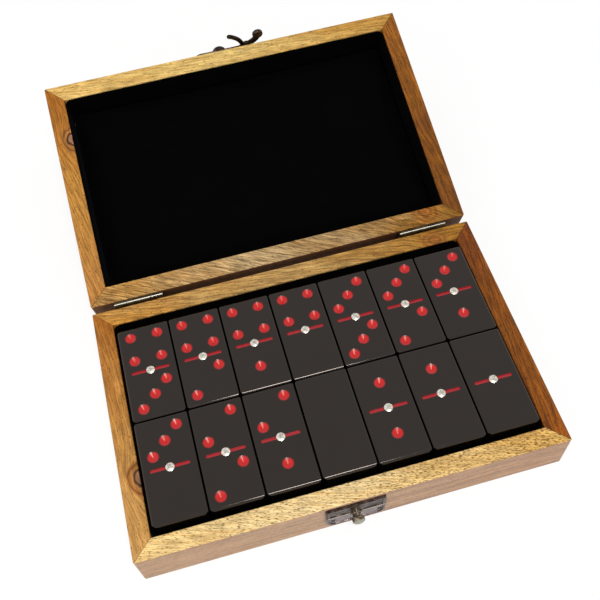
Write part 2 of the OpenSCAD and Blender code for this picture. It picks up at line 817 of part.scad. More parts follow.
base_front_rail();
base_back_rail();
base_left_rail();
base_right_rail();
base_bottom_panel();
base_lining();
keeper_plate();
keeper_stud();
keeper_screws();
hinge_base_leaf(-1);  // left_hinge_base_leaf
hinge_pin(-1);  // left_hinge_pin
hinge_base_leaf(1);  // right_hinge_base_leaf
hinge_pin(1);  // right_hinge_pin
hinge_base_screws();
lid_front_rail();
lid_back_rail();
lid_left_rail();
lid_right_rail();
lid_top_panel();
lid_lining();
lid_pad();
hinge_lid_leaf(-1);  // left_hinge_lid_leaf
hinge_lid_leaf(1);  // right_hinge_lid_leaf
hinge_lid_screws();
latch_plate();
latch_rivet();
latch_screws();
latch_hook();
for (layer = [0, 1], row = [0:rows - 1], column = [0:columns - 1])
    let (n = LAYERS[layer][row][column])
        packed_domino(layer, row, column);
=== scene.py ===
import json
import math
import bmesh
import bpy
from mathutils import Matrix, Vector


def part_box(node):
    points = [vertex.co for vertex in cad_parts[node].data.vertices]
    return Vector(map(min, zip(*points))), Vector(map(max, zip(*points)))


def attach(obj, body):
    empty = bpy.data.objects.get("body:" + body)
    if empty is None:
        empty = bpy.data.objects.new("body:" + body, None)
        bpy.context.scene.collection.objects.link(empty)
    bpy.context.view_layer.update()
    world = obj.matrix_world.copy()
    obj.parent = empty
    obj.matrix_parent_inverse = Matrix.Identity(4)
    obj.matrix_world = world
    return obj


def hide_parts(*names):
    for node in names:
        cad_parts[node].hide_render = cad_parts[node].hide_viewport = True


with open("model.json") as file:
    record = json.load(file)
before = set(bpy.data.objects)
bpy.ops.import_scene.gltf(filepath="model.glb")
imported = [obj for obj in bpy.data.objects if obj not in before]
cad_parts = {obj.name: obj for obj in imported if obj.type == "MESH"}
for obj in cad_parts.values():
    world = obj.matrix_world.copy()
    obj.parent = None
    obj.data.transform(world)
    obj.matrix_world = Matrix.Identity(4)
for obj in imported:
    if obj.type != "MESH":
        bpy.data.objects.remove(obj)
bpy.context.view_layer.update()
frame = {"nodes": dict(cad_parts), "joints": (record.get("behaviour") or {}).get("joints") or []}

mm = 0.001
nodes = frame["nodes"]
hinge = next(joint for joint in frame["joints"] if joint["name"] == "lid_hinge")
hingeAt = Vector(hinge["pos_m"])
openAngle = math.radians(hinge["range_deg"][0])  # from the closed lid to the open one, about X
openTurn = Matrix.Translation(hingeAt) @ Matrix.Rotation(openAngle, 4, "X") @ Matrix.Translation(-hingeAt)
closeTurn = openTurn.inverted()
noTurn = Matrix.Identity(4)
print("frame loaded:", len(nodes), "nodes")


# Camera: above the front left corner, looking down and back into the box

viewpoint = {
    "place": (-41.8, -182.4, 387.7),   # mm
    "heading": (0.1036, 0.5254, -0.8445),
    "roll": 4.87,                      # degrees, clockwise as the camera sees it
    "lens": 50.74,                     # mm
    "sensor": 36,                      # mm, square
    "clip": (0.01, 20),                # metres
}


def placeCamera(settings):
    cameraData = bpy.data.cameras.new("camera")
    cameraData.sensor_width = settings["sensor"]
    cameraData.lens = settings["lens"]
    cameraData.clip_start, cameraData.clip_end = settings["clip"]
    camera = bpy.data.objects.new("camera", cameraData)
    bpy.context.scene.collection.objects.link(camera)
    level = Vector(settings["heading"]).to_track_quat("-Z", "Y").to_matrix()
    turned = level @ Matrix.Rotation(math.radians(-settings["roll"]), 3, "Z")
    camera.matrix_world = Matrix.Translation(Vector(settings["place"]) * mm) @ turned.to_4x4()
    bpy.context.scene.camera = camera


placeCamera(viewpoint)
print("camera placed")


# Nodes and colours

def linearColour(hexColour):  # sRGB hex to the linear values that a shader takes
    parts = [int(hexColour[start:start + 2], 16) / 255 for start in (1, 3, 5)]
    return [part / 12.92 if part <= 0.04045 else ((part + 0.055) / 1.055) ** 2.4 for part in parts] + [1.0]


def addNode(tree, kind, links=None, stops=None, **settings):  # a socket in links is joined, a value is set
    node = tree.nodes.new(kind)
    for name, value in settings.items():
        setattr(node, name, value)
    for name, value in (links or {}).items():
        if isinstance(value, bpy.types.NodeSocket):
            tree.links.new(value, node.inputs[name])
        elif isinstance(value, str):
            node.inputs[name].default_value = linearColour(value)
        else:
            node.inputs[name].default_value = value
    for index, (position, hexColour) in enumerate(stops or []):
        ramp = node.color_ramp.elements
        stop = ramp[index] if index < 2 else ramp.new(position)
        stop.position = position
        stop.color = linearColour(hexColour)
    return node


def startMaterial(name, shine):
    material = bpy.data.materials.new(name)
    material.use_nodes = True
    tree = material.node_tree
    tree.nodes.clear()
    shader = addNode(tree, "ShaderNodeBsdfPrincipled", shine)
    addNode(tree, "ShaderNodeOutputMaterial", {"Surface": shader.outputs[0]})
    place = addNode(tree, "ShaderNodeTexCoord").outputs["Object"]
    return material, tree, shader, place


def addNoises(tree, place, patterns, seed=0.0):  # each pattern: size along, size across in mm, detail
    made = {}
    for name, (alongMm, acrossMm, detail) in patterns.items():
        scale = (1 / (alongMm * mm), 1 / (acrossMm * mm), 1 / (acrossMm * mm))
        spread = addNode(tree, "ShaderNodeVectorMath", {0: place, 1: scale, 2: (seed, seed * 2, seed * 3)},
                         operation="MULTIPLY_ADD").outputs[0]
        made[name] = addNode(tree, "ShaderNodeTexNoise",
                             {"Vector": spread, "Scale": 1.0, "Detail": detail}).outputs["Fac"]
    return made


def dress(material, *names):
    for name in names:
        nodes[name].data.materials.clear()
        nodes[name].data.materials.append(material)


# Wood: planed acacia under satin lacquer. The fibres lean across each rail and flow round the knots, open
# pores show as short dark dashes, and random pale patches are a painted sheen where the grain turns over.
# The outer faces are sawn lengthwise from browner wood.

woodFigure = {
    "broad": {                        # mm along the grain, mm across it, detail
        "wander": (60, 14, 2.0),
        "ripple": (6, 3.0, 1.0),
        "blotch": (34, 9, 2.0),
        # pale patches of painted sheen, placed at random
        "paintedSheen": (7, 4, 1.0),
    },
    "fine": {
        "fibre": (9, 0.66, 1.0),
        "streak": (18, 1.1, 2.0),
        "pore": (1.8, 0.42, 1.0),     # real pores are finer: drawn as coarse as a pixel shows
    },
    "sawn": {
        "thread": (20, 0.8, 2.0),
        "band": (46, 3.6, 2.0),
    },
    "wanderMm": 6.0,
    "rippleMm": 0.8,
    "pithAlongMm": 20,
    "ringStretch": (0.06, 1, 1),      # the rings run almost straight along the grain
    "rings": [(0.0, "#000000"), (1.0, "#303030"), (0.55, "#5a5a5a"), (0.86, "#ffffff")],
    "toneBlotch": 0.6,
    "streakShare": 0.4,
    "fibreDepth": (1.2, 0.8),         # how much of a rail's "lines" darkens and how much brightens
    "outerSkinMm": 0.2,               # how far in from the box's sides counts as an outer face
    "outerShare": 0.8,
    "bump": {"Strength": 0.25, "Distance": 0.06 * mm},
    "specular": 0.16,
}
woodRanges = {                        # what the values of each pattern or place are turned into
    "tone": {"To Min": -0.3, "To Max": 0.8},  # with the blotches, 0 at a rail's first end and 1 at its last
    "streak": {"From Min": 0.42, "From Max": 0.66},
    "fibre": {"From Min": 0.34, "From Max": 0.66},
    "paintedSheen": {"From Min": 0.35, "From Max": 0.65, "To Min": 0.9, "To Max": 1.1},
    "pore": {"From Min": 0.0, "From Max": 0.06, "To Max": 0.8},
    "band": {"From Min": 0.38, "From Max": 0.62},
    "thread": {"From Min": 0.34, "From Max": 0.66, "To Min": 0.8, "To Max": 1.1},
    # painted contact shadow: outer faces darken within a millimetre of the table
    "tableShadow": {"From Min": 0.2 * mm, "From Max": 1.0 * mm, "To Min": 0.6, "To Max": 1.0},
    # painted shade behind the hinges: full up to 33 mm, gone by 47 mm, in the shut box
    "paintedHingeShade": {"From Min": 33 * mm, "From Max": 47 * mm, "To Min": 1.0, "To Max": 0.0},
    "seam": {"From Min": 0.12 * mm, "From Max": 0.42 * mm, "To Min": 0.55, "To Max": 1.0},
    "gloss": {"From Min": 0.3, "From Max": 0.7, "To Min": 0.34, "To Max": 0.5},
}
knotFigure = {
    "flatten": (0.78, 1, 0.6),        # longer along the grain than across it
    "raggedMm": 2.2,
    "reach": 2.4,                     # knot radii within which it pushes the fibres aside
    "hardKnot": {
        "cover": {"From Min": 0.86, "From Max": 1.08, "To Min": 0.92, "To Max": 0.0},  # by knot radii
        "stops": [(0.0, "#8a5c42"), (1.0, "#ac7236"), (0.34, "#a87a5c"), (0.43, "#2a1208"), (0.5, "#4e2612"),
                  (0.57, "#b47c42"), (0.74, "#a86c30"), (0.81, "#763f1a"), (0.9, "#98602c")],
    },
    "softKnot": {
        "cover": {"From Min": 0.86, "From Max": 1.08, "To Min": 0.7, "To Max": 0.0},
        "stops": [(0.0, "#7c421c"), (1.0, "#a86a30"), (0.22, "#a8642c"), (0.40, "#74401a"),
                  (0.56, "#b0702f"), (0.78, "#84501f"), (0.9, "#a4682e")],
    },
    "smudge": {
        "cover": {"From Min": 0.3, "From Max": 1.08, "To Min": 0.6, "To Max": 0.0},
        "stops": [(0.0, "#4a260c"), (1.0, "#7a4418"), (0.5, "#643612")],
    },
}

# a knot's place is in mm in the shut box, and the three tones run from a piece's first end to its last
baseWood = {
    "base_front_rail": {
        "along": "X", "lean": 18, "pith": (31, -9), "ringGap": 2.6, "seed": 3.1,
        "light": ("#f9d58e", "#ffe2a6", "#efbf6c"), "dark": ("#e7a756", "#ddac60", "#bd873a"),
        "ringDepth": 0.25, "lines": 0.22,
        "side": ("#bc9277", "#a17b6a"), "pores": (0.6, 0.52), "poreHex": "#6b4a22", "knots": [],
    },
    "base_back_rail": {
        "along": "X", "lean": 10, "pith": (24, -14), "ringGap": 2.4, "seed": 8.4,
        "light": ("#d2943d", "#cda562", "#ac7727"), "dark": ("#965c21", "#926539", "#794916"),
        "ringDepth": 0.4, "lines": 0.32,
        "side": ("#b69070", "#a37e63"), "pores": (0.62, 0.62), "poreHex": "#4a2c14",
        "knots": [{"at": (80, 58.4, 25.5), "radius": 6.0, "push": 3.0, "kind": "softKnot"}],
    },
    "base_left_rail": {
        "along": "Y", "lean": -6, "pith": (21, -30), "ringGap": 3.4, "seed": 12.7,
        "light": ("#dba761", "#d1974e", "#b77024"), "dark": ("#a97635", "#9c672a", "#844511"),
        "ringDepth": 0.35, "lines": 0.22,
        "side": ("#bf9879", "#aa856b"), "pores": (0.635, 0.635), "poreHex": "#5a3312",
        "knots": [{"at": (-90.6, -28, 25.5), "radius": 7.4, "push": -5.0, "kind": "hardKnot"}],
    },
    "base_right_rail": {
        "along": "Y", "lean": 5, "pith": (26, -22), "ringGap": 3.0, "seed": 17.9,
        "light": ("#9b5613", "#925415", "#894812"), "dark": ("#703408", "#643007", "#5a2606"),
        "ringDepth": 0.5, "lines": 0.32,
        "side": ("#96694e", "#855b44"), "pores": (0.62, 0.62), "poreHex": "#3c1c0a", "knots": [],
    },
    "base_bottom_panel": {
        "along": "X", "lean": 3, "pith": (10, -60), "ringGap": 4.2, "seed": 47.5,
        "light": ("#c4904e", "#c08b4a", "#bc8646"), "dark": ("#96642c", "#93612a", "#905e28"),
        "ringDepth": 0.5, "lines": 0.25,
        "pores": (0.64, 0.64), "poreHex": "#5a3614", "knots": [],
    },
}
lidWood = {
    "lid_front_rail": {
        "along": "X", "lean": -6, "pith": (-28, 60), "ringGap": 2.8, "seed": 23.3,
        "light": ("#ebc06f", "#f1ce81", "#cc9a4a"), "dark": ("#c49143", "#c89e4d", "#a87429"),
        "ringDepth": 0.35, "lines": 0.24,
        "side": ("#bf9879", "#aa856b"), "pores": (0.62, 0.62), "poreHex": "#7a5424", "knots": [],
    },
    "lid_back_rail": {
        "along": "X", "lean": -26, "pith": (20, 40), "ringGap": 2.2, "seed": 29.6,
        "light": ("#cb974f", "#caab7c", "#a37433"), "dark": ("#8b5b27", "#8a6b41", "#714619"),
        "ringDepth": 0.35, "lines": 0.4,
        # the dark colour is painted shade on the outer face next to the rim, where the gap behind the hinges
        # lies
        "side": ("#b69070", "#a37e63"), "shade": "#5a2c1a", "specular": 0.04,
        "pores": (0.63, 0.63), "poreHex": "#54361c",
        "knots": [{"at": (81, 57.8, 25.9), "radius": 6.5, "push": 3.0, "kind": "softKnot"}],
    },
    "lid_left_rail": {
        "along": "Y", "lean": 10, "pith": (24, 52), "ringGap": 3.2, "seed": 34.2,
        "light": ("#ad671b", "#cb9142", "#c58843"), "dark": ("#874a0c", "#9e6725", "#986023"),
        "ringDepth": 0.4, "lines": 0.26,
        "side": ("#bf9879", "#aa856b"), "pores": (0.64, 0.63), "poreHex": "#5a3010",
        "knots": [{"at": (-90.8, -31, 25.9), "radius": 7.0, "push": -5.0, "kind": "hardKnot"}],
    },
    "lid_right_rail": {
        "along": "Y", "lean": 6, "pith": (-26, 50), "ringGap": 3.0, "seed": 41.8,
        "light": ("#a2631f", "#925816", "#834d11"), "dark": ("#764310", "#6b3909", "#5f3006"),
        "ringDepth": 0.5, "lines": 0.32,
        "side": ("#96694e", "#855b44"), "pores": (0.62, 0.62), "poreHex": "#3c1c0a",
        "knots": [{"at": (97.6, 6.9, 25.9), "radius": 6.0, "push": -2.0, "kind": "smudge"}],
    },
    "lid_top_panel": {
        "along": "X", "lean": 3, "pith": (14, 0), "ringGap": 4.0, "seed": 52.9,
        "light": ("#c89652", "#c4904d", "#c08a48"), "dark": ("#9c6a30", "#97652d", "#92602a"),
        "ringDepth": 0.6, "lines": 0.25,
        "pores": (0.64, 0.64), "poreHex": "#5c3816",
        "knots": [{"at": (34, -12, 53.1), "radius": 6.0, "push": 4.0, "kind": "hardKnot"}],
    },
}
boxHalf = {"X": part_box("base_right_rail")[1].x, "Y": -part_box("base_front_rail")[0].y}  # metres


def addKnots(tree, grain, leant, ripple, knots):  # returns each knot's distance in radii, and the total push
    shares, push = [], 0.0
    for knot in knots:
        away = addNode(tree, "ShaderNodeVectorMath", {0: grain, 1: leant @ Vector(knot["at"]) * mm},
                       operation="SUBTRACT").outputs[0]
        flat = addNode(tree, "ShaderNodeVectorMath", {0: away, 1: knotFigure["flatten"]},
                       operation="MULTIPLY").outputs[0]
        distance = addNode(tree, "ShaderNodeVectorMath", {0: flat}, operation="LENGTH").outputs["Value"]
        ragged = addNode(tree, "ShaderNodeMath", {0: ripple, 1: knotFigure["raggedMm"] * mm, 2: distance},
                         operation="MULTIPLY_ADD").outputs[0]
        ragged = addNode(tree, "ShaderNodeMath", {0: ragged, 1: knotFigure["raggedMm"] / 2 * mm},
                         operation="SUBTRACT").outputs[0]
        shares.append(addNode(tree, "ShaderNodeMath", {0: ragged, 1: knot["radius"] * mm},
                              operation="DIVIDE").outputs[0])
        bulge = addNode(tree, "ShaderNodeMapRange", {
            "Value": distance, "From Min": 0.0, "From Max": knot["radius"] * knotFigure["reach"] * mm,
            "To Min": knot["push"] * mm, "To Max": 0.0}, interpolation_type="SMOOTHERSTEP").outputs[0]
        push = addNode(tree, "ShaderNodeMath", {0: push, 1: bulge}, operation="ADD").outputs[0]
    return shares, push


def colourKnots(tree, colour, fibresAndSheen, shares, knots):
    for share, knot in zip(shares, knots):
        look = knotFigure[knot["kind"]]
        heart = addNode(tree, "ShaderNodeValToRGB", {"Fac": share}, look["stops"]).outputs[0]
        heart = addNode(tree, "ShaderNodeVectorMath", {0: heart, "Scale": fibresAndSheen},
                        operation="SCALE").outputs[0]
        cover = addNode(tree, "ShaderNodeMapRange", {"Value": share, **look["cover"]}).outputs[0]
        colour = addNode(tree, "ShaderNodeMix", {0: cover, 6: colour, 7: heart},
                         data_type="RGBA").outputs[2]
    return colour


def addRings(tree, flow, rail):  # year rings round the pith, each fading from pale to a sharp dark line
    pithY, pithZ = rail["pith"]
    centred = (woodFigure["pithAlongMm"] * mm, -pithY * mm, -pithZ * mm)
    ringed = addNode(tree, "ShaderNodeVectorMath", {0: flow, 1: woodFigure["ringStretch"], 2: centred},
                     operation="MULTIPLY_ADD").outputs[0]
    radius = addNode(tree, "ShaderNodeVectorMath", {0: ringed}, operation="LENGTH").outputs["Value"]
    turns = addNode(tree, "ShaderNodeMath", {0: radius, 1: rail["ringGap"] * mm},
                    operation="DIVIDE").outputs[0]
    phase = addNode(tree, "ShaderNodeMath", {0: turns}, operation="FRACT").outputs[0]
    return addNode(tree, "ShaderNodeValToRGB", {"Fac": phase}, woodFigure["rings"]).outputs[0]


def colourOuter(tree, colour, rail, level, height, outward):  # painted contact shadow by the table and painted shade behind the hinges
    lengthwise = addNoises(tree, level, woodFigure["sawn"], rail["seed"])
    band = addNode(tree, "ShaderNodeMapRange", {
        "Value": lengthwise["band"], **woodRanges["band"]}).outputs[0]
    sawn = addNode(tree, "ShaderNodeMix", {0: band, 6: rail["side"][0], 7: rail["side"][1]},
                   data_type="RGBA").outputs[2]
    # painted contact shadow: the outer face darkens towards the table
    edge = addNode(tree, "ShaderNodeMapRange", {"Value": height, **woodRanges["tableShadow"]}).outputs[0]
    sawn = addNode(tree, "ShaderNodeVectorMath", {0: sawn, "Scale": edge}, operation="SCALE").outputs[0]
    # painted shade: the lid's back rail is dark on its outer face near the rim, where the gap behind the
    # hinges is in shadow
    if "shade" in rail:
        shade = addNode(tree, "ShaderNodeMapRange", {
            "Value": height, **woodRanges["paintedHingeShade"]}).outputs[0]
        sawn = addNode(tree, "ShaderNodeMix", {0: shade, 6: sawn, 7: rail["shade"]},
                       data_type="RGBA").outputs[2]
    thread = addNode(tree, "ShaderNodeMapRange", {
        "Value": lengthwise["thread"], **woodRanges["thread"]}).outputs[0]
    sawn = addNode(tree, "ShaderNodeVectorMath", {0: sawn, "Scale": thread}, operation="SCALE").outputs[0]
    across = "Y" if rail["along"] == "X" else "X"
    face = boxHalf[across] - woodFigure["outerSkinMm"] * mm
    outer = addNode(tree, "ShaderNodeMath", {0: outward, 1: face}, operation="GREATER_THAN").outputs[0]
    outer = addNode(tree, "ShaderNodeMath", {0: outer, 1: woodFigure["outerShare"]},
                    operation="MULTIPLY").outputs[0]
    return addNode(tree, "ShaderNodeMix", {0: outer, 6: colour, 7: sawn}, data_type="RGBA").outputs[2]


def markMitres(tree, colour, reachX, reachY):  # a fine dark line along each mitre
    apart = addNode(tree, "ShaderNodeMath", {0: reachX, 1: reachY}, operation="SUBTRACT").outputs[0]
    apart = addNode(tree, "ShaderNodeMath", {0: apart, 1: boxHalf["X"] - boxHalf["Y"]},
                    operation="SUBTRACT").outputs[0]
    apart = addNode(tree, "ShaderNodeMath", {0: apart}, operation="ABSOLUTE").outputs[0]
    seam = addNode(tree, "ShaderNodeMapRange", {"Value": apart, **woodRanges["seam"]}).outputs[0]
    return addNode(tree, "ShaderNodeVectorMath", {0: colour, "Scale": seam}, operation="SCALE").outputs[0]


def lacqueredAcacia(name, rail, closed):  # closed turns the rail's place to the shut box's
    material, tree, shader, place = startMaterial(
        "lacqueredAcacia_" + name, {"Specular IOR Level": rail.get("specular", woodFigure["specular"])})
    shut = addNode(tree, "ShaderNodeMapping", {
        "Vector": place, "Location": closed.to_translation(), "Rotation": closed.to_euler()}).outputs[0]
    alongX = Matrix.Rotation(math.radians(-90), 4, "Z") if rail["along"] == "Y" else noTurn
    leant = Matrix.Rotation(math.radians(rail["lean"]), 4, "Z") @ alongX
    grain = addNode(tree, "ShaderNodeMapping", {"Vector": shut, "Rotation": leant.to_euler()}).outputs[0]
    broad = addNoises(tree, grain, woodFigure["broad"], rail["seed"])

    # how far the fibres are pushed aside, by their own wander and by the knots
    shares, push = addKnots(tree, grain, leant, broad["ripple"], rail["knots"])
    aside = addNode(tree, "ShaderNodeMath", {0: broad["wander"], 1: woodFigure["wanderMm"] * mm, 2: push},
                    operation="MULTIPLY_ADD").outputs[0]
    aside = addNode(tree, "ShaderNodeMath", {0: broad["ripple"], 1: woodFigure["rippleMm"] * mm, 2: aside},
                    operation="MULTIPLY_ADD").outputs[0]
    shift = addNode(tree, "ShaderNodeCombineXYZ", {"Y": aside}).outputs[0]
    flow = addNode(tree, "ShaderNodeVectorMath", {0: grain, 1: shift}, operation="ADD").outputs[0]
    fine = addNoises(tree, flow, woodFigure["fine"], rail["seed"])

    # the light and the dark tone each change from the rail's first end to its last, with blotches
    x, y, z = addNode(tree, "ShaderNodeSeparateXYZ", {0: shut}).outputs
    half = boxHalf[rail["along"]]
    swing = addNode(tree, "ShaderNodeMapRange", {
        "Value": x if rail["along"] == "X" else y, "From Min": -half, "From Max": half,
        **woodRanges["tone"]}).outputs[0]
    swing = addNode(tree, "ShaderNodeMath", {0: broad["blotch"], 1: woodFigure["toneBlotch"], 2: swing},
                    operation="MULTIPLY_ADD", use_clamp=True).outputs[0]
    tones = []
    for firstHex, middleHex, lastHex in (rail["light"], rail["dark"]):
        stops = [(0.0, firstHex), (1.0, lastHex), (0.5, middleHex)]
        tones.append(addNode(tree, "ShaderNodeValToRGB", {"Fac": swing}, stops).outputs[0])

    streaks = addNode(tree, "ShaderNodeMapRange", {
        "Value": fine["streak"], **woodRanges["streak"]}).outputs[0]
    figure = addNode(tree, "ShaderNodeMath", {0: addRings(tree, flow, rail), 1: rail["ringDepth"]},
                     operation="MULTIPLY").outputs[0]
    figure = addNode(tree, "ShaderNodeMath", {0: streaks, 1: woodFigure["streakShare"], 2: figure},
                     operation="MULTIPLY_ADD", use_clamp=True).outputs[0]
    colour = addNode(tree, "ShaderNodeMix", {0: figure, 6: tones[0], 7: tones[1]},
                     data_type="RGBA").outputs[2]
    darker, brighter = woodFigure["fibreDepth"]
    fibresAndSheen = addNode(tree, "ShaderNodeMapRange", {
        "Value": fine["fibre"], **woodRanges["fibre"],
        "To Min": 1 - darker * rail["lines"], "To Max": 1 + brighter * rail["lines"]}).outputs[0]
    # painted sheen: random pale patches that brighten the fibres
    paintedSheen = addNode(tree, "ShaderNodeMapRange", {
        "Value": broad["paintedSheen"], **woodRanges["paintedSheen"]}).outputs[0]
    fibresAndSheen = addNode(tree, "ShaderNodeMath", {0: fibresAndSheen, 1: paintedSheen}, operation="MULTIPLY").outputs[0]
    colour = addNode(tree, "ShaderNodeVectorMath", {0: colour, "Scale": fibresAndSheen},
                     operation="SCALE").outputs[0]

    openPore = addNode(tree, "ShaderNodeMapRange", {
        "Value": swing, "To Min": -rail["pores"][0], "To Max": -rail["pores"][1]}).outputs[0]
    openPore = addNode(tree, "ShaderNodeMath", {0: fine["pore"], 1: openPore}, operation="ADD").outputs[0]
    pores = addNode(tree, "ShaderNodeMapRange", {"Value": openPore, **woodRanges["pore"]}).outputs[0]
    colour = addNode(tree, "ShaderNodeMix", {0: pores, 6: colour, 7: rail["poreHex"]},
                     data_type="RGBA").outputs[2]
    colour = colourKnots(tree, colour, fibresAndSheen, shares, rail["knots"])
    if "side" in rail:
        level = addNode(tree, "ShaderNodeMapping", {
            "Vector": shut, "Rotation": alongX.to_euler()}).outputs[0]
        reachX, reachY = [addNode(tree, "ShaderNodeMath", {0: value}, operation="ABSOLUTE").outputs[0]
                          for value in (x, y)]
        colour = colourOuter(tree, colour, rail, level, z, reachX if rail["along"] == "Y" else reachY)
        colour = markMitres(tree, colour, reachX, reachY)
    tree.links.new(colour, shader.inputs["Base Color"])

    gloss = addNode(tree, "ShaderNodeMapRange", {"Value": fine["streak"], **woodRanges["gloss"]}).outputs[0]
    tree.links.new(gloss, shader.inputs["Roughness"])
    height = addNode(tree, "ShaderNodeMath", {0: fine["fibre"], 1: pores}, operation="SUBTRACT").outputs[0]
    bump = addNode(tree, "ShaderNodeBump", {"Height": height, **woodFigure["bump"]}).outputs[0]
    tree.links.new(bump, shader.inputs["Normal"])
    return material


for name, rail in baseWood.items():
    dress(lacqueredAcacia(name, rail, noTurn), name)
for name, rail in lidWood.items():
    dress(lacqueredAcacia(name, rail, closeTurn), name)
print("wood done")


# Dominoes: moulded black urea, polished, with drilled pips and groove filled with red enamel, and a turned
# nickel spinner. The faces mirror the pale room, a little hazy where the polish is thin.

tile = {
    "patterns": {                     # mm along, mm across, detail
        "swirl": (9, 14, 3.0),
        "dust": (0.9, 0.9, 1.0),      # the real specks are finer: drawn as coarse as a pixel shows
    },
    "faceInset": 1.5,                 # mm from a domino's sides to where pips may begin
    "cutDepth": (0.03, 1.5),          # mm below the face, from just under it to past the deepest pip
    "grooveHalf": 0.95,               # mm
    "spinnerProud": 0.5,              # mm
    "headFrom": 0.02,                 # mm above the face
    "layerSplit": 10,                 # mm above the table: dominoes of the lower layer start below it
    "black": ("#070504", "#0c0907"),
    "red": "#c8141a",
    # the dark red is painted shade at the rim of each pit
    "redRimShade": "#5e080c",
    "redBar": "#a81c28",
    "nickel": ("#e8e3d8", "#b4ada0"),
    # the spinner head's darker middle is a painted reflection
    "paintedCentreReflection": "#8e8880",
    "rimShadeRange": {"From Min": 0.1 * mm, "From Max": 0.35 * mm},
    "dustRange": {"From Min": 0.4, "From Max": 0.62},
    "centreReflectionRange": {"From Min": 0.475 * mm, "From Max": 1.235 * mm, "To Min": 0.5, "To Max": 0.0},
    "hazeRange": {"From Min": 0.3, "From Max": 0.7, "To Min": 0.05, "To Max": 0.14},
    "enamelHaze": 0.2,                # more than the black around it
    "nickelHaze": 0.3,
    "shine": {"Specular IOR Level": 0.46, "Specular Tint": "#ffeee2"},
    "faceDown": "domino_2_0",
}
# the upper layer's back left domino, the one in front of it and the next one along give the grid
backLeft, frontLeft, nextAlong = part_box("domino_4_3"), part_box("domino_3_0"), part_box("domino_4_2")
tile["pitch"] = nextAlong[0].x - backLeft[0].x
tile["rowPitch"] = backLeft[0].y - frontLeft[0].y
tile["firstX"] = (backLeft[0].x + backLeft[1].x) / 2
tile["firstY"] = (backLeft[0].y + backLeft[1].y) / 2
tile["halfWidth"] = (backLeft[1].x - backLeft[0].x) / 2
tile["halfLength"] = (backLeft[1].y - backLeft[0].y) / 2


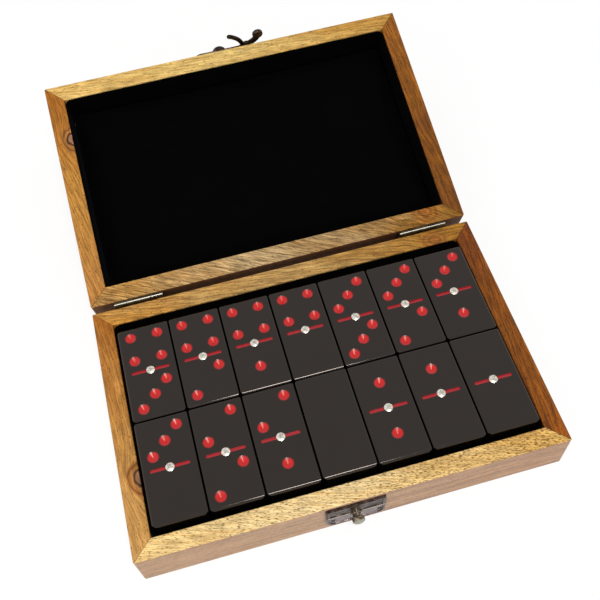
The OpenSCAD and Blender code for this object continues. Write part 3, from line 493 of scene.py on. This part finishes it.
def polishedUrea(name, faceZ, up):  # up is 1 where the pips face up and -1 where they face down
    material, tree, shader, place = startMaterial("polishedUrea_" + name, tile["shine"])
    noises = addNoises(tree, place, tile["patterns"])
    x, y, z = addNode(tree, "ShaderNodeSeparateXYZ", {0: place}).outputs
    reach = []
    for value, first, pitch in ((x, tile["firstX"], tile["pitch"]), (y, tile["firstY"], tile["rowPitch"])):
        moved = addNode(tree, "ShaderNodeMath", {0: value, 1: first}, operation="SUBTRACT").outputs[0]
        wrapped = addNode(tree, "ShaderNodeMath", {0: moved, 1: pitch / 2, 2: -pitch / 2},
                          operation="WRAP").outputs[0]
        reach.append(addNode(tree, "ShaderNodeMath", {0: wrapped}, operation="ABSOLUTE").outputs[0])
    fromFace = addNode(tree, "ShaderNodeMath", {0: z, 1: faceZ}, operation="SUBTRACT").outputs[0]
    depth = addNode(tree, "ShaderNodeMath", {0: fromFace, 1: -up}, operation="MULTIPLY").outputs[0]
    shallow, deep = tile["cutDepth"]
    limits = [
        (reach[0], tile["halfWidth"] - tile["faceInset"] * mm, "LESS_THAN"),
        (reach[1], tile["halfLength"] - tile["faceInset"] * mm, "LESS_THAN"),
        (depth, deep * mm, "LESS_THAN"),
        (depth, shallow * mm, "GREATER_THAN"),
    ]
    cut = 1.0
    for value, limit, test in limits:
        passed = addNode(tree, "ShaderNodeMath", {0: value, 1: limit}, operation=test).outputs[0]
        cut = addNode(tree, "ShaderNodeMath", {0: passed, 1: cut}, operation="MULTIPLY").outputs[0]
    groove = addNode(tree, "ShaderNodeMath", {0: reach[1], 1: tile["grooveHalf"] * mm},
                     operation="LESS_THAN").outputs[0]
    head = addNode(tree, "ShaderNodeMath", {0: depth, 1: -tile["headFrom"] * mm},
                   operation="LESS_THAN").outputs[0]
    black = addNode(tree, "ShaderNodeMix", {0: noises["swirl"], 6: tile["black"][0], 7: tile["black"][1]},
                    data_type="RGBA").outputs[2]
    # painted shade: the enamel is darker just under the face, at the pits' rims, and bright red deeper down
    rim = addNode(tree, "ShaderNodeMapRange", {"Value": depth, **tile["rimShadeRange"]}).outputs[0]
    red = addNode(tree, "ShaderNodeMix", {0: rim, 6: tile["redRimShade"], 7: tile["red"]},
                  data_type="RGBA").outputs[2]
    red = addNode(tree, "ShaderNodeMix", {0: groove, 6: red, 7: tile["redBar"]}, data_type="RGBA").outputs[2]
    speck = addNode(tree, "ShaderNodeMapRange", {"Value": noises["dust"], **tile["dustRange"]}).outputs[0]
    nickel = addNode(tree, "ShaderNodeMix", {0: speck, 6: tile["nickel"][0], 7: tile["nickel"][1]},
                     data_type="RGBA").outputs[2]
    # painted reflection: the spinner head darkens towards its middle
    flat = addNode(tree, "ShaderNodeCombineXYZ", {"X": reach[0], "Y": reach[1]}).outputs[0]
    fromPin = addNode(tree, "ShaderNodeVectorMath", {0: flat}, operation="LENGTH").outputs["Value"]
    paintedCentreReflection = addNode(tree, "ShaderNodeMapRange", {"Value": fromPin, **tile["centreReflectionRange"]}).outputs[0]
    nickel = addNode(tree, "ShaderNodeMix", {0: paintedCentreReflection, 6: nickel, 7: tile["paintedCentreReflection"]},
                     data_type="RGBA").outputs[2]
    colour = addNode(tree, "ShaderNodeMix", {0: cut, 6: black, 7: red}, data_type="RGBA").outputs[2]
    colour = addNode(tree, "ShaderNodeMix", {0: head, 6: colour, 7: nickel}, data_type="RGBA").outputs[2]
    tree.links.new(colour, shader.inputs["Base Color"])
    tree.links.new(head, shader.inputs["Metallic"])
    haze = addNode(tree, "ShaderNodeMapRange", {"Value": noises["swirl"], **tile["hazeRange"]}).outputs[0]
    haze = addNode(tree, "ShaderNodeMath", {0: cut, 1: tile["enamelHaze"], 2: haze},
                   operation="MULTIPLY_ADD").outputs[0]
    gloss = addNode(tree, "ShaderNodeMix", {0: head, 2: haze, 3: tile["nickelHaze"]}).outputs[0]
    tree.links.new(gloss, shader.inputs["Roughness"])
    return material


def dressDominoes():
    groups = {"lower": [], "upper": []}
    for name in sorted(nodes):
        if name.startswith("domino_") and name != tile["faceDown"]:
            groups["lower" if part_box(name)[0].z < tile["layerSplit"] * mm else "upper"].append(name)
    proud = tile["spinnerProud"] * mm
    for layer, names in groups.items():
        dress(polishedUrea(layer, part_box(names[0])[1].z - proud, 1), *names)
    dress(polishedUrea("faceDown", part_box(tile["faceDown"])[0].z + proud, -1), tile["faceDown"])


dressDominoes()
print("dominoes done")


# Latch: die-cast plates and hook in antiqued bronze, dark brown in the hollows and rubbed bright on the
# raised lines, with a slightly grainy cast skin

latch = {
    "plate": {
        "hollow": "#2a1f1b", "rubbedAndHighlit": "#5e4e46", "worn": 0.7,
        "bright": "#54453c", "crest": (66.28, 66.5),  # mm in front of the box's middle, closed
        "lowBand": "#8c7f80", "bandTop": 14.9,        # mm above the table
        "ridge": "#cbc2b4", "ridgeZ": 15.25,
    },
    "lidPlate": {
        "hollow": "#3c2e28", "rubbedAndHighlit": "#8a7668", "worn": 0.7,
        "bright": "#a49484", "crest": (66.28, 66.5),
    },
    "stud": {
        "hollow": "#584a3c", "rubbedAndHighlit": "#d0c2ae", "worn": 0.85,
        "bright": "#a9ab9c", "crest": (70.6, 71.2),
    },
    "screw": {"hollow": "#140e0a", "rubbedAndHighlit": "#b8aca0", "worn": 0.9},
    "hook": {"hollow": "#16100d", "rubbedAndHighlit": "#5c4a3c", "worn": 0.6},
}
bronze = {
    "patterns": {                     # mm along, mm across, detail
        "cloud": (2.4, 2.4, 3.0),
        "grit": (0.5, 0.5, 2.0),      # the real cast skin is finer: drawn as coarse as a pixel shows
    },
    "wornRange": {"From Min": 0.4, "From Max": 0.64},
    "bandSoftMm": 0.4,
    "bandCover": 0.8,
    "crestCover": 0.9,
    "ridgeHalfMm": 0.34,
    "glossRange": {"From Min": 0.3, "From Max": 0.7, "To Min": 0.4, "To Max": 0.22},
    "bump": {"Strength": 0.35, "Distance": 0.05 * mm},
}


def antiquedBronze(name, turn):  # turn takes the closed box's latch to where it is now
    look = latch[name]
    material, tree, shader, place = startMaterial("antiquedBronze_" + name, {"Metallic": 1.0})
    noises = addNoises(tree, place, bronze["patterns"])
    worn = addNode(tree, "ShaderNodeMapRange", {
        "Value": noises["cloud"], **bronze["wornRange"], "To Max": look["worn"]}).outputs[0]
    colour = addNode(tree, "ShaderNodeMix", {0: worn, 6: look["hollow"], 7: look["rubbedAndHighlit"]},
                     data_type="RGBA").outputs[2]
    high = addNode(tree, "ShaderNodeSeparateXYZ", {0: place}).outputs["Z"]
    if "lowBand" in look:
        low = addNode(tree, "ShaderNodeMapRange", {
            "Value": high, "From Min": (look["bandTop"] - bronze["bandSoftMm"]) * mm,
            "From Max": look["bandTop"] * mm, "To Min": bronze["bandCover"], "To Max": 0.0}).outputs[0]
        colour = addNode(tree, "ShaderNodeMix", {0: low, 6: colour, 7: look["lowBand"]},
                         data_type="RGBA").outputs[2]
    if "crest" in look:
        outward = turn.to_3x3() @ Vector((0, -1, 0))
        away = turn.to_translation().dot(outward)
        reach = addNode(tree, "ShaderNodeVectorMath", {0: place, 1: outward},
                        operation="DOT_PRODUCT").outputs["Value"]
        raised = addNode(tree, "ShaderNodeMapRange", {
            "Value": reach, "From Min": look["crest"][0] * mm + away,
            "From Max": look["crest"][1] * mm + away, "To Max": bronze["crestCover"]}).outputs[0]
        bright = look["bright"]
        if "ridge" in look:
            onRidge = addNode(tree, "ShaderNodeMath", {
                0: high, 1: look["ridgeZ"] * mm, 2: bronze["ridgeHalfMm"] * mm},
                operation="COMPARE").outputs[0]
            bright = addNode(tree, "ShaderNodeMix", {0: onRidge, 6: bright, 7: look["ridge"]},
                             data_type="RGBA").outputs[2]
        colour = addNode(tree, "ShaderNodeMix", {0: raised, 6: colour, 7: bright},
                         data_type="RGBA").outputs[2]
    tree.links.new(colour, shader.inputs["Base Color"])
    gloss = addNode(tree, "ShaderNodeMapRange", {
        "Value": noises["cloud"], **bronze["glossRange"]}).outputs[0]
    tree.links.new(gloss, shader.inputs["Roughness"])
    bump = addNode(tree, "ShaderNodeBump", {"Height": noises["grit"], **bronze["bump"]}).outputs[0]
    tree.links.new(bump, shader.inputs["Normal"])
    return material


dress(antiquedBronze("plate", noTurn), "keeper_plate")
dress(antiquedBronze("lidPlate", openTurn), "latch_plate")
dress(antiquedBronze("stud", noTurn), "keeper_stud")
dress(antiquedBronze("screw", noTurn), "keeper_screws", "latch_screws")
dress(antiquedBronze("hook", noTurn), "latch_hook", "latch_rivet")
print("latch done")


# Hinges: drawn and rolled brass gone dark, with a painted highlight along the crest of the barrel

barrel = {
    "patterns": {                     # mm along, mm across, detail
        "brush": (14, 0.35, 2.0),     # the real drawing lines are finer: drawn as coarse as a pixel shows
        "tarnish": (5, 3, 3.0),
    },
    "tarnishRange": {"From Min": 0.42, "From Max": 0.7},
    "sound": "#4c4430",
    "dull": "#241c10",
    # the pale colour below is the painted highlight on the barrel's crest
    "bright": "#b6b2a8",
    "crest": (0, -0.42, 0.91),
    "crestRange": {"From Min": 1.478 * mm, "From Max": 1.5 * mm},  # from the axis towards the crest, where the painted highlight lies
    "glossRange": {"From Min": 0.3, "From Max": 0.7, "To Min": 0.28, "To Max": 0.46},
    "bump": {"Strength": 0.2, "Distance": 0.02 * mm},
}


def rolledBrass():
    material, tree, shader, place = startMaterial("rolledBrass", {"Metallic": 1.0})
    noises = addNoises(tree, place, barrel["patterns"])
    dull = addNode(tree, "ShaderNodeMapRange", {
        "Value": noises["tarnish"], **barrel["tarnishRange"]}).outputs[0]
    colour = addNode(tree, "ShaderNodeMix", {0: dull, 6: barrel["sound"], 7: barrel["dull"]},
                     data_type="RGBA").outputs[2]
    fromAxis = addNode(tree, "ShaderNodeVectorMath", {0: place, 1: hingeAt}, operation="SUBTRACT").outputs[0]
    height = addNode(tree, "ShaderNodeVectorMath", {0: fromAxis, 1: barrel["crest"]},
                     operation="DOT_PRODUCT").outputs["Value"]
    # painted highlight: a thin pale line along the barrel's crest, on the side facing the camera
    rubbedAndHighlit = addNode(tree, "ShaderNodeMapRange", {"Value": height, **barrel["crestRange"]}).outputs[0]
    colour = addNode(tree, "ShaderNodeMix", {0: rubbedAndHighlit, 6: colour, 7: barrel["bright"]},
                     data_type="RGBA").outputs[2]
    tree.links.new(colour, shader.inputs["Base Color"])
    gloss = addNode(tree, "ShaderNodeMapRange", {
        "Value": noises["brush"], **barrel["glossRange"]}).outputs[0]
    tree.links.new(gloss, shader.inputs["Roughness"])
    bump = addNode(tree, "ShaderNodeBump", {"Height": noises["brush"], **barrel["bump"]}).outputs[0]
    tree.links.new(bump, shader.inputs["Normal"])
    return material


dress(rolledBrass(), *[name for name in nodes if "hinge" in name])
print("hinges done")


# Velvet: flocked cotton velvet, near black, whose pile catches a faint cool light at the edges

nap = {
    "patterns": {                     # mm along, mm across, detail
        "shade": (26, 15, 2.0),
        "pile": (0.45, 0.45, 2.0),    # the real pile is finer: drawn as coarse as a pixel shows
    },
    "black": ("#020202", "#050506"),
    "shine": {
        "Roughness": 0.95, "Specular IOR Level": 0.02,
        "Sheen Weight": 0.012, "Sheen Roughness": 0.35, "Sheen Tint": "#a0a8c0",
    },
    "bump": {"Strength": 0.5, "Distance": 0.15 * mm},
}


def flockedVelvet():
    material, tree, shader, place = startMaterial("flockedVelvet", nap["shine"])
    noises = addNoises(tree, place, nap["patterns"])
    colour = addNode(tree, "ShaderNodeMix", {0: noises["shade"], 6: nap["black"][0], 7: nap["black"][1]},
                     data_type="RGBA").outputs[2]
    tree.links.new(colour, shader.inputs["Base Color"])
    bump = addNode(tree, "ShaderNodeBump", {"Height": noises["pile"], **nap["bump"]}).outputs[0]
    tree.links.new(bump, shader.inputs["Normal"])
    return material


velvet = flockedVelvet()


# Modelling helpers

def pickParts(piece, kind, test):  # in edit mode, selects just the faces or edges that pass the test
    bpy.ops.mesh.select_all(action="DESELECT")
    bpy.ops.mesh.select_mode(type=kind)
    shape = bmesh.from_edit_mesh(piece.data)
    for part in shape.faces if kind == "FACE" else shape.edges:
        if test(part):
            part.select_set(True)
    shape.select_flush_mode()
    bmesh.update_edit_mesh(piece.data)


def rise(edge):
    return abs(edge.verts[0].co.z - edge.verts[1].co.z)


def addBlock(name, low, high):
    bpy.ops.object.select_all(action="DESELECT")
    bpy.ops.mesh.primitive_cube_add(size=1, location=(low + high) / 2)
    piece = bpy.context.object
    piece.name = name
    piece.scale = high - low
    bpy.ops.object.transform_apply(location=True, rotation=True, scale=True)
    return piece


def applyModifier(piece, kind, **settings):
    bpy.context.view_layer.objects.active = piece
    modifier = piece.modifiers.new(kind.lower(), kind)
    for name, value in settings.items():
        setattr(modifier, name, value)
    bpy.ops.object.modifier_apply(modifier=modifier.name)


def pickOnly(pieces):
    bpy.ops.object.select_all(action="DESELECT")
    for piece in pieces:
        piece.select_set(True)
    bpy.context.view_layer.objects.active = pieces[0]


def joinPieces(pieces, name):
    pickOnly(pieces)
    bpy.ops.object.join()
    pieces[0].name = name
    pieces[0].data.name = name
    return pieces[0]


def turnPiece(piece, turn):  # takes a lid piece's mesh between the shut box and the open one
    pickOnly([piece])
    piece.matrix_world = turn
    bpy.ops.object.transform_apply(location=True, rotation=True, scale=True)


def finishPiece(piece, material, body, slotName, *stoodFor):
    pickOnly([piece])
    bpy.ops.object.shade_smooth_by_angle(angle=math.radians(38))  # rounds the rolls, keeps the cut edges
    piece.data.materials.clear()
    piece.data.materials.append(material)
    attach(piece, body)
    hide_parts(*stoodFor)


def cornersOf(points):
    low = Vector([min(point[axis] for point in points) for axis in range(3)])
    high = Vector([max(point[axis] for point in points) for axis in range(3)])
    return low, high


def closedBox(name):  # a lid node's corners with the lid shut
    return cornersOf([closeTurn @ vertex.co for vertex in nodes[name].data.vertices])


# Velvet linings: card strips covered in velvet, with the cloth rolled over their upper edge

lining = {                            # in mm
    "thick": 0.68,
    "floorThick": 0.5,
    "floorGap": 0.1,                  # between the floor's underside and the wall's
    "backing": 0.25,                  # the thin sheet behind the pad
    "cornerRadius": 3.6,
    "cornerSteps": 6,
    "rollRadius": 0.3,
    "rollSteps": 3,
    "rollAngle": 50,                  # degrees
    "sheetRadius": 0.06,
    "sheetSteps": 2,
    "wander": 0.5,                    # how far the rim strays up and down
    "wanderPitch": 19.0,
    "wanderCuts": 39,
    "wallEdge": 40,                   # edges longer than this run along a wall
    "rimSlack": 0.1,                  # points this close to the rim's height belong to it
}


def velvetStrip(name, low, high, rimZ):  # a band round the inside of the box; rimZ is the edge that shows
    strip = addBlock(name, low, high)
    bpy.ops.object.mode_set(mode="EDIT")
    pickParts(strip, "FACE", lambda face: abs(face.normal.z) > 0.9)  # top and bottom
    bpy.ops.mesh.delete(type="FACE")
    pickParts(strip, "EDGE", lambda edge: rise(edge) > mm)
    bpy.ops.mesh.bevel(offset=lining["cornerRadius"] * mm, segments=lining["cornerSteps"], affect="EDGES")
    pickParts(strip, "EDGE", lambda edge: edge.calc_length() > lining["wallEdge"] * mm)
    bpy.ops.mesh.subdivide(number_cuts=lining["wanderCuts"])
    bpy.ops.mesh.select_all(action="SELECT")
    bpy.ops.mesh.normals_make_consistent(inside=False)
    bpy.ops.object.mode_set(mode="OBJECT")
    rim = strip.vertex_groups.new(name="rim")
    slack = lining["rimSlack"] * mm
    rim.add([v.index for v in strip.data.vertices if abs(v.co.z - rimZ) < slack], 1.0, "REPLACE")
    clouds = bpy.data.textures.new(name + "Wander", "CLOUDS")
    clouds.noise_scale = lining["wanderPitch"] * mm
    applyModifier(strip, "DISPLACE", texture=clouds, direction="Z", mid_level=0.5,
                  strength=lining["wander"] * mm, vertex_group="rim")
    applyModifier(strip, "SOLIDIFY", thickness=lining["thick"] * mm, offset=-1)
    applyModifier(strip, "BEVEL", width=lining["rollRadius"] * mm, segments=lining["rollSteps"],
                  limit_method="ANGLE", angle_limit=math.radians(lining["rollAngle"]))
    return strip


def velvetSheet(name, low, high, bottomZ, topZ):  # a flat card between the walls
    inset = lining["thick"] * mm
    sheet = addBlock(name, Vector((low.x + inset, low.y + inset, bottomZ)),
                     Vector((high.x - inset, high.y - inset, topZ)))
    bpy.ops.object.mode_set(mode="EDIT")
    pickParts(sheet, "EDGE", lambda edge: rise(edge) > (topZ - bottomZ) / 2)
    bpy.ops.mesh.bevel(offset=lining["cornerRadius"] * mm, segments=lining["cornerSteps"], affect="EDGES")
    bpy.ops.object.mode_set(mode="OBJECT")
    applyModifier(sheet, "BEVEL", width=lining["sheetRadius"] * mm, segments=lining["sheetSteps"],
                  limit_method="ANGLE")
    return sheet


def makeBaseLining():
    low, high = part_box("base_lining")
    wallLow = Vector((low.x, low.y, low.z + lining["floorGap"] * mm))
    wall = velvetStrip("baseLiningWall", wallLow, high, high.z)
    floor = velvetSheet("baseLiningFloor", low, high, low.z, low.z + lining["floorThick"] * mm)
    piece = joinPieces([wall, floor], "velvetBaseLining")
    finishPiece(piece, velvet, "base", "velvet", "base_lining")


def makeLidLining():
    low, high = closedBox("lid_lining")
    wall = velvetStrip("lidLiningWall", low, high, low.z)
    backing = velvetSheet("lidLiningBacking", low, high, high.z - lining["backing"] * mm, high.z)
    piece = joinPieces([wall, backing], "velvetLidLining")
    turnPiece(piece, openTurn)
    finishPiece(piece, velvet, "lid", "velvet", "lid_lining")


makeBaseLining()
makeLidLining()
print("linings done")


# Lid pad: foam under velvet, rolled over its edges, with the cloth blown up slightly over the foam

pad = {                               # in mm
    "weld": 0.01,
    "voxel": 2.2,
    "shrink": 0.3,
    "gluedDepth": 2.5,                # how far in front of the lid's panel the cloth is glued down
    "cap": 1.4,
    "frames": 20,
    "cloth": {
        "quality": 5,
        "mass": 0.3,
        "use_pressure": True,
        "uniform_pressure_force": 4.0,
        "vertex_group_mass": "glued",
        "tension_stiffness": 15,
        "bending_stiffness": 0.5,
    },
}


def makeLidPad():
    solid = nodes["lid_pad"]
    shape = solid.data.copy()
    piece = bpy.data.objects.new("velvetLidPad", shape)
    bpy.context.scene.collection.objects.link(piece)
    turnPiece(piece, closeTurn)
    low, high = cornersOf([vertex.co for vertex in shape.vertices])
    bpy.ops.object.mode_set(mode="EDIT")
    bpy.ops.mesh.select_all(action="SELECT")
    bpy.ops.mesh.remove_doubles(threshold=pad["weld"] * mm)
    bpy.ops.mesh.normals_make_consistent(inside=False)
    bpy.ops.object.mode_set(mode="OBJECT")
    applyModifier(piece, "REMESH", mode="VOXEL", voxel_size=pad["voxel"] * mm, use_smooth_shade=True)
    middle = (low + high) / 2
    for vertex in piece.data.vertices:  # starts slightly smaller, because it swells
        for axis in range(3):
            side = vertex.co[axis] - middle[axis]
            half = high[axis] - middle[axis]
            vertex.co[axis] = middle[axis] + side * (1 - pad["shrink"] * mm / half)
    start = [vertex.co.copy() for vertex in piece.data.vertices]
    glued = piece.vertex_groups.new(name="glued")
    glueZ = high.z - pad["gluedDepth"] * mm
    glued.add([v.index for v in piece.data.vertices if v.co.z > glueZ], 1.0, "REPLACE")
    cloth = piece.modifiers.new("cloth", "CLOTH")
    cloth.settings.effector_weights.gravity = 0
    for name, value in pad["cloth"].items():
        setattr(cloth.settings, name, value)
    for step in range(1, pad["frames"] + 1):
        bpy.context.scene.frame_set(step)
    bpy.context.view_layer.objects.active = piece
    bpy.ops.object.modifier_apply(modifier="cloth")
    bpy.context.scene.frame_set(1)
    for vertex, before in zip(piece.data.vertices, start):
        moved = vertex.co - before
        if moved.length > pad["cap"] * mm:
            vertex.co = before + moved.normalized() * pad["cap"] * mm
    for vertex in piece.data.vertices:  # never past the space that the solid holds
        for axis in range(3):
            vertex.co[axis] = min(max(vertex.co[axis], low[axis]), high[axis])
    applyModifier(piece, "SUBSURF", levels=1, render_levels=1)
    turnPiece(piece, openTurn)
    finishPiece(piece, velvet, "lid", "velvet", "lid_pad")


makeLidPad()
print("lid pad done")


# Plain pale floor and soft studio light

studio = {                            # in metres
    "floorHalf": 6.0,
    "paper": "#f4f4f4",
    "glow": 1.08,                     # times glowShare, with the matt paper's light on top, just white
    "glowShare": 0.72,
    "shadeReach": 0.12,               # round the box, painted shade on the floor's glow, seen only in gloss
    "shadeSamples": 8,
    "skyLight": 0.55,
    "overheadSoftbox": {"place": (0.08, -0.55, 1.35), "size": 0.28, "power": 9.0},
    "sideFill": {"place": (-0.9, -0.6, 0.8), "size": 0.9, "power": 2.2},
}


def addLamp(name, place, size, power):
    light = bpy.data.lights.new(name, "AREA")
    light.shape = "SQUARE"
    light.size = size
    light.energy = power
    lamp = bpy.data.objects.new(name, light)
    bpy.context.scene.collection.objects.link(lamp)
    lamp.location = place
    lamp.rotation_euler = (-Vector(place)).to_track_quat("-Z", "Y").to_euler()  # at the box


def seenRays(tree):  # 1 for what the camera sees itself, in a gloss or through glass
    path = addNode(tree, "ShaderNodeLightPath")
    seen = path.outputs["Is Camera Ray"]
    for name in ("Is Glossy Ray", "Is Transmission Ray"):
        seen = addNode(tree, "ShaderNodeMath", {0: seen, 1: path.outputs[name]}, operation="ADD",
                       use_clamp=True).outputs[0]
    return seen


def setStudio():
    bpy.ops.object.select_all(action="DESELECT")
    bpy.ops.mesh.primitive_plane_add(size=2 * studio["floorHalf"])
    floor = bpy.context.object
    floor.name = "studioFloor"
    paper = bpy.data.materials.new("whitePaperSweep")
    paper.use_nodes = True
    tree = paper.node_tree
    tree.nodes.clear()
    matt = addNode(tree, "ShaderNodeBsdfDiffuse", {"Color": studio["paper"]}).outputs[0]
    glow = addNode(tree, "ShaderNodeEmission", {"Color": "#ffffff", "Strength": studio["glow"]}).outputs[0]
    # painted shade: ambient occlusion dims the floor's glow near the box, except for camera rays
    paintedFloorShade = addNode(tree, "ShaderNodeAmbientOcclusion", {"Distance": studio["shadeReach"]},
                   samples=studio["shadeSamples"]).outputs["AO"]
    straight = addNode(tree, "ShaderNodeLightPath").outputs["Is Camera Ray"]
    paintedFloorShade = addNode(tree, "ShaderNodeMath", {0: paintedFloorShade, 1: straight}, operation="MAXIMUM").outputs[0]
    share = addNode(tree, "ShaderNodeMath", {0: seenRays(tree), 1: studio["glowShare"]},
                    operation="MULTIPLY").outputs[0]
    share = addNode(tree, "ShaderNodeMath", {0: share, 1: paintedFloorShade}, operation="MULTIPLY").outputs[0]
    mixed = addNode(tree, "ShaderNodeMixShader", {0: share, 1: matt, 2: glow}).outputs[0]
    addNode(tree, "ShaderNodeOutputMaterial", {"Surface": mixed})
    floor.data.materials.append(paper)
    world = bpy.data.worlds.new("studioRoom")
    bpy.context.scene.world = world
    world.use_nodes = True
    tree = world.node_tree
    tree.nodes.clear()
    strength = addNode(tree, "ShaderNodeMapRange", {
        "Value": seenRays(tree), "To Min": studio["skyLight"], "To Max": 1.0}).outputs[0]
    sky = addNode(tree, "ShaderNodeBackground", {"Color": "#ffffff", "Strength": strength}).outputs[0]
    addNode(tree, "ShaderNodeOutputWorld", {"Surface": sky})
    for name in ("overheadSoftbox", "sideFill"):
        addLamp(name, **studio[name])
    bpy.context.scene.view_settings.view_transform = "Standard"


setStudio()
print("studio done")
